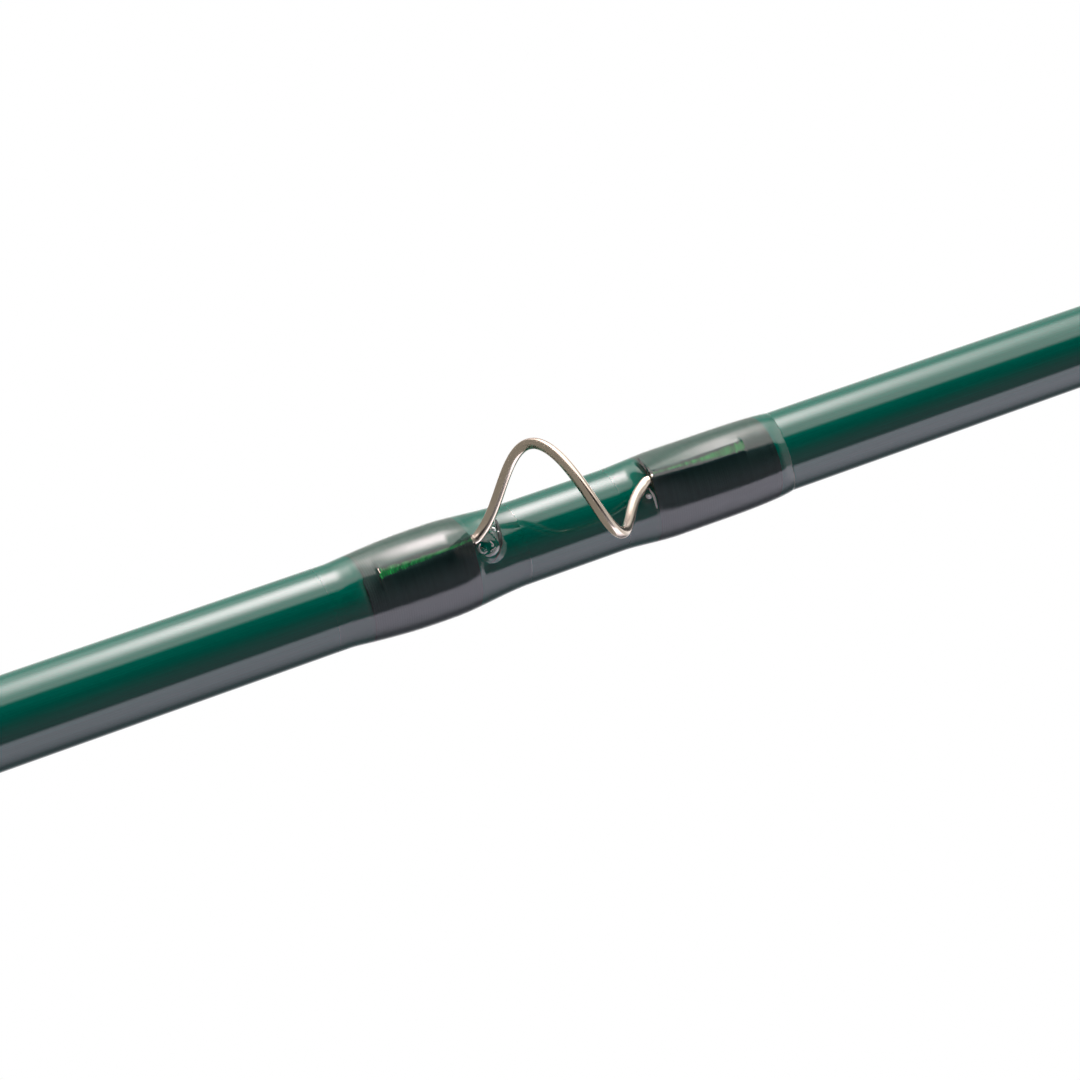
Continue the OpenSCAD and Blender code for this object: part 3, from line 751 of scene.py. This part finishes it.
def blank_material():
    """Green translucent coat over graphite: a mirror-smooth skin, with fibres just visible along the rod."""
    made, tree, shader = new_material("blank")
    fibres = noise(tree, 1.0, detail=4, stretch=(9000, 9000, 90), roughness=0.7)
    clouds = noise(tree, 1.0, detail=2, stretch=(900, 900, 120))
    fibre, gap, cloud = colour(0.0, 0.315, 0.252), colour(0.0, 0.250, 0.198), colour(0.0, 0.230, 0.190)
    base = mix_colour(tree, smooth(tree, fibres, 0.35, 0.75), gap, fibre)
    base = mix_colour(tree, smooth(tree, clouds, 0.3, 0.8, 0, 0.25), base, cloud)
    tree.links.new(base, shader.inputs["Base Color"])
    coated = add(tree, "ShaderNodeAttribute", attribute_name="coated").outputs["Fac"]
    tree.links.new(calc(tree, "MULTIPLY_ADD", coated, -0.5, 0.5), shader.inputs["Specular IOR Level"])
    shader.inputs["Roughness"].default_value = 0.08
    set_bump(tree, shader, fibres, 0.04, 0.00002)
    return made


def thread_material():
    """Dark green thread, painted lighter on the side towards the lights and bright on a foot's metal."""
    made, tree, shader = new_material("thread")
    over = add(tree, "ShaderNodeAttribute", attribute_name="over_foot").outputs["Fac"]
    tint = add(tree, "ShaderNodeAttribute", attribute_name="turn_tint").outputs["Fac"]
    normal = add(tree, "ShaderNodeNewGeometry").outputs["Normal"]
    # A painted sheen: the side of the thread that faces the lights gets a lighter, greener copy of its
    # colour.
    upward = dot(tree, normal, UP_WAY)
    dark = mix_colour(tree, tint, colour(0.036, 0.078, 0.084), colour(0.042, 0.088, 0.094))
    sheen = mix_colour(tree, tint, colour(0.075, 0.185, 0.165), colour(0.085, 0.205, 0.180))
    dark = mix_colour(tree, smooth(tree, upward, 0.1, 0.8), dark, sheen)
    # Over a foot's metal the thread is painted bright green: partly its own tone over the pale metal, partly
    # the metal's painted reflection.
    bright = mix_colour(tree, tint, colour(0.0, 0.30, 0.07), colour(0.03, 0.95, 0.18))
    tree.links.new(mix_colour(tree, over, dark, bright), shader.inputs["Base Color"])
    strands = noise(tree, 1.0, detail=2, stretch=(3000, 3000, 40000))
    tree.links.new(smooth(tree, strands, 0.2, 0.8, 0.45, 0.65), shader.inputs["Roughness"])
    shader.inputs["Specular IOR Level"].default_value = 0.05
    set_bump(tree, shader, strands, 0.2, 0.00002)
    return made


def resin_material():
    """Clear epoxy. To shadows and to light that has already been scattered it is plain transparent."""
    made, tree, shader = new_material("clear_finish")
    shader.inputs["Base Color"].default_value = colour(0.97, 1.0, 0.985)
    shader.inputs["Transmission Weight"].default_value = 1.0
    shader.inputs["IOR"].default_value = 1.5
    ripple = noise(tree, 260.0, detail=1)
    tree.links.new(smooth(tree, ripple, 0.2, 0.9, 0.03, 0.06), shader.inputs["Roughness"])
    set_bump(tree, shader, ripple, 0.05, 0.0002)
    output = tree.nodes["Material Output"]
    path = add(tree, "ShaderNodeLightPath").outputs
    plain = calc(tree, "ADD", path["Is Shadow Ray"], path["Diffuse Depth"], clamp=True)
    clear = add(tree, "ShaderNodeBsdfTransparent", {"Color": colour(0.97, 0.99, 0.98)})
    mixed = add(tree, "ShaderNodeMixShader", {0: plain, 1: shader.outputs[0], 2: clear.outputs[0]})
    tree.links.new(mixed.outputs[0], output.inputs["Surface"])
    return made


def steel_material():
    """Polished stainless wire with fine drawing lines."""
    made, tree, shader = new_material("stainless")
    shader.inputs["Metallic"].default_value = 1.0
    grain = noise(tree, 5200.0, detail=3)
    patches = noise(tree, 500.0, detail=2)
    tree.links.new(
        mix_colour(tree, patches, colour(0.52, 0.445, 0.375), colour(0.60, 0.52, 0.44)),
        shader.inputs["Base Color"],
    )
    tree.links.new(smooth(tree, grain, 0.2, 0.8, 0.19, 0.22), shader.inputs["Roughness"])
    set_bump(tree, shader, grain, 0.002, 0.00001)
    return made


def mottled(name, light, dark, scale, roughness, bump=0.1, metallic=0.0, stretch=None):
    """A material with two tones in a cloudy pattern, which also drives its roughness and bump."""
    made, tree, shader = new_material(name)
    pattern = noise(tree, scale, detail=5, stretch=stretch, roughness=0.6)
    tones = mix_colour(tree, smooth(tree, pattern, 0.3, 0.7), dark, light)
    tree.links.new(tones, shader.inputs["Base Color"])
    roughnesses = smooth(tree, pattern, 0.2, 0.8, roughness * 1.3, roughness)
    tree.links.new(roughnesses, shader.inputs["Roughness"])
    shader.inputs["Metallic"].default_value = metallic
    set_bump(tree, shader, pattern, bump, 0.0001)
    return made


# ---- Light ----


def light_world():
    """Soft studio light, one set for mirrors and one for matt surfaces. The camera sees plain white."""
    world = bpy.data.worlds.new("studio")
    bpy.context.scene.world = world
    world.use_nodes = True
    world.cycles.sampling_method = "NONE"
    tree = world.node_tree
    way = add(tree, "ShaderNodeTexCoord").outputs["Generated"]

    turn = calc(tree, "ARCTAN2", dot(tree, way, UP_WAY), dot(tree, way, CAMERA_WAY))
    turn = calc(tree, "DEGREES", turn)
    rise = calc(tree, "DEGREES", calc(tree, "ARCSINE", dot(tree, way, (0, 0, 1))))

    def band(light, angle):
        start, full, fade, gone, strength = light
        growing = smooth(tree, angle, start, full)
        share = calc(tree, "MULTIPLY", growing, smooth(tree, angle, gone, fade))
        return calc(tree, "MULTIPLY", share, strength)

    def tinted(tint, value):
        return add(tree, "ShaderNodeVectorMath", {0: tint, 3: value}, operation="SCALE").outputs[0]

    def together(*parts):
        total = parts[0]
        for part in parts[1:]:
            total = add(tree, "ShaderNodeVectorMath", {0: total, 1: part}, operation="ADD").outputs[0]
        return total

    off = calc(tree, "DIVIDE", calc(tree, "SUBTRACT", rise, KEY_RISE), KEY_SPREAD)
    lobe = calc(tree, "EXPONENT", calc(tree, "MULTIPLY", calc(tree, "MULTIPLY", off, off), -0.5))
    level = calc(tree, "ABSOLUTE", calc(tree, "SUBTRACT", rise, BAND_RISE))
    low_band = smooth(tree, level, *BAND_EDGE)
    slanted = calc(tree, "MULTIPLY_ADD", rise, SKY_SLANT, calc(tree, "SUBTRACT", turn, SKY_TURN))
    upper = calc(tree, "ADD", band(SKY, slanted), band(FAR_SKY, turn))
    back_start, back_full, back_strength = BACK
    back = smooth(tree, calc(tree, "ABSOLUTE", turn), back_start, back_full, 0, back_strength)
    glossy = together(
        tinted(KEY_TINT, calc(tree, "MULTIPLY", band(KEY, turn), lobe)),
        tinted(SKY_TINT, calc(tree, "MULTIPLY", upper, low_band)),
        tinted(TABLE_TINT, calc(tree, "MULTIPLY", band(TABLE, turn), low_band)),
        tinted(COOL_TINT, calc(tree, "ADD", band(GLOW, turn), band(FAR_TABLE, turn))),
        tinted((1, 1, 1), back),
        tinted(ROOM_TINT, smooth(tree, level, *ROOM_EDGE, 0, ROOM)),
    )

    def toward(centre, power, strength):
        lean = calc(tree, "COSINE", calc(tree, "RADIANS", calc(tree, "SUBTRACT", turn, centre)))
        share = calc(tree, "POWER", calc(tree, "MULTIPLY_ADD", lean, 0.5, 0.5), power)
        return calc(tree, "MULTIPLY", share, strength)

    lamps = [tinted(tint, toward(*lamp)) for tint, *lamp in LAMPS]
    soft = together(*lamps, tinted(AMBIENT, 1.0))
    path = add(tree, "ShaderNodeLightPath")
    bounced = calc(tree, "MINIMUM", path.outputs["Diffuse Depth"], 1.0)
    light = mix_colour(tree, bounced, glossy, soft)
    seen = mix_colour(tree, path.outputs["Is Camera Ray"], light, colour(1, 1, 1))
    tree.links.new(seen, tree.nodes["Background"].inputs["Color"])


def place_camera(middle):
    """The close-up: from below and to one side, rolled so that the rod climbs across the picture."""
    offset_x, offset_y, offset_z = VIEW_OFFSET
    target = Vector((offset_x, offset_y, middle + offset_z))
    way = -CAMERA_WAY * math.cos(VIEW_ELEVATION) + Vector((0, 0, -math.sin(VIEW_ELEVATION)))
    along = Vector((0, 0, 1)) - way * way.z
    along.normalize()
    right = along * math.cos(VIEW_ROLL) - UP_WAY * math.sin(VIEW_ROLL)
    up = along * math.sin(VIEW_ROLL) + UP_WAY * math.cos(VIEW_ROLL)
    data = bpy.data.cameras.new("camera")
    data.sensor_width = 36.0
    data.lens = data.sensor_width / 2 / math.tan(HALF_VIEW)
    data.clip_start = 0.01
    data.clip_end = 100
    camera = bpy.data.objects.new("camera", data)
    bpy.context.scene.collection.objects.link(camera)
    turn = Matrix((right, up, -way)).transposed()
    place = (target - way * VIEW_DISTANCE) * MM
    camera.matrix_world = Matrix.Translation(place) @ turn.to_4x4()
    bpy.context.scene.camera = camera


def floor_material():
    """Pale to the camera, dimmer in mirrors and dark to matt surfaces, for the rod's dark lower side."""
    made, tree, shader = new_material("floor")
    clouds = noise(tree, 1.5, detail=4)
    pale = mix_colour(tree, clouds, colour(0.80, 0.80, 0.79), colour(0.76, 0.76, 0.755))
    path = add(tree, "ShaderNodeLightPath").outputs
    seen = mix_colour(tree, path["Is Glossy Ray"], pale, colour(0.62, 0.59, 0.55))
    seen = mix_colour(tree, path["Is Diffuse Ray"], seen, colour(0.02, 0.02, 0.02))
    tree.links.new(seen, shader.inputs["Base Color"])
    shader.inputs["Roughness"].default_value = 0.7
    shader.inputs["Specular IOR Level"].default_value = 0.1
    return made


def add_floor():
    mesh = bpy.data.meshes.new("floor")
    ring = even_angles(96)
    points = [(r * math.sin(a), r * math.cos(a), 0.0) for r in FLOOR_RADII for a in ring]
    mesh.from_pydata(points, [], grid_faces(len(FLOOR_RADII), len(ring))[:, ::-1].tolist())
    mesh.materials.append(floor_material())
    floor = bpy.data.objects.new("floor", mesh)
    bpy.context.scene.collection.objects.link(floor)


# ---- The rod ----


def build_blank(section, material):
    """The blank, with an attribute that tells its material where it is under finish."""
    rows = set(np.linspace(section.low, section.high, 50))
    edge = 0.02
    angles = even_angles(AROUND)
    front = np.clip(np.cos(angles - VIEW_AZIMUTH), 0, 1)
    for low, high, draw in section.coated:
        rows |= {low, low + edge, high - edge, high}
        rows |= set(np.linspace(high - draw - edge, high, 12 if draw else 2))
    rows = np.array(sorted(z for z in rows if section.low <= z <= section.high))
    covered = np.zeros((len(rows), AROUND))
    for low, high, draw in section.coated:
        under = (rows[:, None] > low + edge / 2) & (rows[:, None] < high - draw * front - edge / 2)
        covered = np.maximum(covered, under)
    outside = round_rod(section.r(rows), rows, angles)
    inside = [round_rod([r], [z], angles)[0] for r, z in section.inside]
    pile = Pile()
    loop = np.concatenate([outside, np.array(inside), outside[:1]])
    values = np.concatenate([covered, np.zeros((len(inside), AROUND)), covered[:1]])
    pile.grid(loop, coated=values)
    pile.make(section.node + "_skin", material, section.body, section.node)


def add_froth_and_painted_edges(section, centre, lifts, pale, dark):
    """Streaks of painted shade and painted highlight, a painted highlight round a bubble's rim, and tiny
    bubbles, in the finish of the largest guide.

    lifts gives the height of the finish on each side.
    """
    piles = {"pale": Pile(), "dark": Pile()}
    for side, tone, half_width, points in STREAKS:
        add_streak(piles[tone], section, centre, points, half_width, lifts[side])
    x, z, radius = BUBBLE_RIM
    arc = np.radians(np.arange(50, 265, 12))
    rim = [(x + radius * math.sin(a), z + radius * math.cos(a)) for a in arc]
    add_streak(piles["pale"], section, centre, rim, RIM_HALF_WIDTH, lifts[-1])
    chance = np.random.default_rng(FROTH_SEED)
    for x, z, spread_x, spread_z, count, radius in FROTH:
        for _ in range(count):
            bead_x = x + chance.uniform(-spread_x, spread_x)
            bead_z = centre + z + chance.uniform(-spread_z, spread_z)
            place = on_rod(section, bead_x, bead_z, lifts[-1](bead_x, bead_z))
            add_bubble(piles["pale"], place, radius * chance.uniform(0.6, 1.2))
    piles["pale"].make("guide_froth_and_painted_highlights", pale, section.body, "lower_mid_snake_finish")
    piles["dark"].make("guide_painted_shade_edges", dark, section.body, "lower_mid_snake_finish")


def add_snake_wrap(pile, section, low, high, centre, side, scale, largest):
    """The thread over one foot of a snake guide."""

    def contact(middle):
        return touching(middle, centre, side, scale)

    foot = snake_foot(centre, side, scale)
    detail = THREAD_DETAIL[largest]
    add_wrap(pile, section, low, high, foot, *detail, contact, FOOT_OFF[side] * scale)


def add_snake_coat(pile, section, low, high, centre, side, scale, largest):
    """The finish over one wrap of a snake guide. Returns a function that gives its height at (x, z)."""
    start, end = sorted(centre + side * t * scale for t in (COAT_START[side], COAT_END[side]))

    def profile(z):
        t = abs(z - centre) / scale
        sunk = ROOT_SINK * (1 - ease((t - COAT_START[side]) / ROOT_LENGTH))
        return over_thread(snake_coat(t, side) * (1 + scale) / 2 - sunk, z, low, high)

    def swell(z):
        x = abs(z - centre) / scale - SNAKE_ROOT
        fade = ease(x / HUMP_LEAD + 1) * ease((SNAKE_FOOT[side] - x) / HUMP_TAIL + HUMP_TAIL_SHARE)
        share = min(1, max(0, x / SNAKE_FOOT[side]))
        crest = (foot_shape(share, side)[1] + FOOT_COVER) * scale + COVERED_THREAD
        crest = WIRE_DEPTH * scale + (crest - WIRE_DEPTH * scale) * ease(x / WIRE_CLIMB + 1)
        hump = max(crest - profile(z), LEAST_HUMP[side] * scale * (1 - 0.5 * share))
        return hump * fade, -FOOT_OFF[side] * scale / section.r(z)

    foot = snake_foot(centre, side, scale)
    drops = []
    if largest and side < 0:
        x, along, *size = RESIN_DROP
        drops = [(x, centre + along, *size)]
        for x, below, radius in BUBBLES:
            add_bubble(pile, on_rod(section, x, centre - below, BUBBLE_LIFT), radius)
    sag = COAT_RUN[side] / snake_coat(COAT_MIDDLE, side)
    draw = UPPER_DRAW if largest and side > 0 else 0
    add_coat(pile, section, start, end, profile, foot, *COAT_DETAIL[largest], sag, drops, draw, swell)

    def lift(x, z):
        signed = np.array([math.asin(x / section.r(z))])
        off = coat_ring(section, z, signed, profile(z), foot(z), *swell(z))
        return float(off[0] + sum(drop(x, z, *size) for size in drops))

    return lift


def crest_height(node, section, low, high):
    """How far the ridge of a CAD wrap stands off the blank, between two heights."""
    points = node_points(node)
    points = points[(points[:, 2] > low - NEAR) & (points[:, 2] < high + NEAR)]
    return float((-points[:, 1] - section.r(points[:, 2])).max())


def add_plain_wrap(wraps, coats, section, node, wrap, coat):
    """Thread and finish over a plain foot, or over the bare blank where the CAD wrap has no ridge."""
    low, high = wrap
    start, end = coat
    crest = crest_height(node, section, low, high) - 2 * THREAD_HEIGHT
    toe_low = low + (PLAIN_TOE if start < low - COAT_BEYOND else -1)
    toe_high = high - (PLAIN_TOE if end > high + COAT_BEYOND else -1)
    foot = no_foot
    if crest > LEAST_CREST:
        corner = min(0.5, crest * 0.6)
        foot = flat_foot(toe_low, toe_high, PLAIN_FOOT_HALF_WIDTH, crest, corner)

    def profile(z):
        edge = min(1, max(0, min(z - start, end - z)) / PLAIN_COAT_EDGE)
        plain = (THREAD_HEIGHT + PLAIN_SWELL) * (1 - (1 - edge) ** 2) ** 0.6
        return over_thread(plain, z, low, high)

    add_wrap(wraps, section, low, high, foot, *PLAIN_THREAD_DETAIL)
    add_coat(coats, section, start, end, profile, foot, *PLAIN_COAT_DETAIL)


def build_plain_wraps(thread, resin):
    """Every wrap that isn't a snake guide's."""
    for body, wrap_node, coat_node in PLAIN_WRAPS:
        section = sections[body]
        wraps, coats = Pile(), Pile()
        for wrap, coat in zip(spans(wrap_node), spans(coat_node)):
            add_plain_wrap(wraps, coats, section, wrap_node, wrap, coat)
        wraps.make(wrap_node + "_thread", thread, body, wrap_node)
        coats.make(coat_node + "_resin", resin, body, coat_node)


def build_snake_guides(prefix, node, resin, thread, steel, pale, dark):
    """The snake guides of one section with their thread and finish. Only the largest has froth."""
    body = body_of(node)
    section = sections[body]
    wires, wraps, coats = Pile(), Pile(), Pile()
    wrap_spans = spans(prefix + "_snake_wraps")
    for centre, scale in snake_guides(node):
        largest = scale > 0.99
        lifts = {}
        add_snake(wires, section, centre, scale, *WIRE_DETAIL[largest])
        for low, high in wrap_spans:
            if abs((low + high) / 2 - centre) > SNAKE_REACH:
                continue
            side = 1 if low > centre else -1
            add_snake_wrap(wraps, section, low, high, centre, side, scale, largest)
            lifts[side] = add_snake_coat(coats, section, low, high, centre, side, scale, largest)
        if largest:
            add_froth_and_painted_edges(section, centre, lifts, pale, dark)
    wires.make(prefix + "_wire", steel, body, node)
    wraps.make(prefix + "_thread", thread, body, prefix + "_snake_wraps")
    coats.make(prefix + "_resin", resin, body, prefix + "_snake_finish")


def build():
    """Makes every piece that is seen in place of a CAD node. Returns the materials that others share."""
    blank = blank_material()
    thread = thread_material()
    resin = resin_material()
    steel = steel_material()
    # A pale material for the tiny bubbles and for painted highlights, and a dark one that is painted shade
    # along the finish's steep edges.
    pale = mottled("froth_and_painted_highlight", colour(0.85, 0.84, 0.88), colour(0.60, 0.59, 0.64), 4000, 0.4, metallic=0.5)
    dark = mottled("painted_shade_edge", colour(0.03, 0.05, 0.048), colour(0.015, 0.03, 0.028), 3000, 0.45)
    for prefix, node in (
        ("lower_mid", LARGEST_GUIDE),
        ("upper_mid", "upper_mid_snake_guides"),
        ("tip", "tip_snake_guides"),
    ):
        build_snake_guides(prefix, node, resin, thread, steel, pale, dark)
    build_plain_wraps(thread, resin)
    for section in sections.values():
        build_blank(section, blank)
    return blank, thread, resin, steel


def dress_cad(blank, thread, resin, steel):
    """Gives every CAD node that is still shown its material."""
    grain = (700, 700, 45)
    black = mottled(
        "black_alloy", colour(0.030, 0.032, 0.036), colour(0.018, 0.019, 0.021), 900, 0.28, metallic=0.7
    )
    alloy = mottled("alloy", colour(0.62, 0.63, 0.65), colour(0.50, 0.51, 0.53), 1500, 0.3, metallic=1.0)
    cork = mottled("cork", colour(0.72, 0.52, 0.33), colour(0.42, 0.26, 0.14), 420, 0.75, bump=0.6)
    wood = mottled("insert_wood", colour(0.33, 0.15, 0.06), colour(0.10, 0.04, 0.02), 1, 0.25, stretch=grain)
    rubber_cork = mottled(
        "rubber_cork", colour(0.40, 0.24, 0.13), colour(0.05, 0.035, 0.03), 650, 0.7, bump=0.4
    )
    ceramic = mottled("ceramic", colour(0.035, 0.036, 0.04), colour(0.025, 0.025, 0.028), 800, 0.08)
    washer = mottled("washer", colour(0.85, 0.85, 0.82), colour(0.78, 0.78, 0.75), 700, 0.4)
    bushing = mottled("bushing", colour(0.80, 0.76, 0.62), colour(0.70, 0.65, 0.50), 500, 0.5)
    paint = mottled("dot_paint", colour(0.90, 0.89, 0.84), colour(0.86, 0.85, 0.80), 900, 0.25)
    by_slot = {
        "blank": blank, "thread": thread, "clear_finish": resin, "stainless": steel, "ceramic": ceramic,
        "black_alloy": black, "alloy": alloy, "washer": washer, "insert_wood": wood, "bushing": bushing,
        "cork": cork, "rubber_cork": rubber_cork, "dot_paint": paint,
    }
    for part in frame["record"]["subparts"]:
        mesh = frame["nodes"][part["node"]].data
        mesh.materials.clear()
        mesh.materials.append(by_slot[part["material_slot"]])


dress_cad(*build())
light_world()
add_floor()
place_camera(snake_guides(LARGEST_GUIDE)[0][0])
bpy.context.scene.view_settings.view_transform = "Standard"
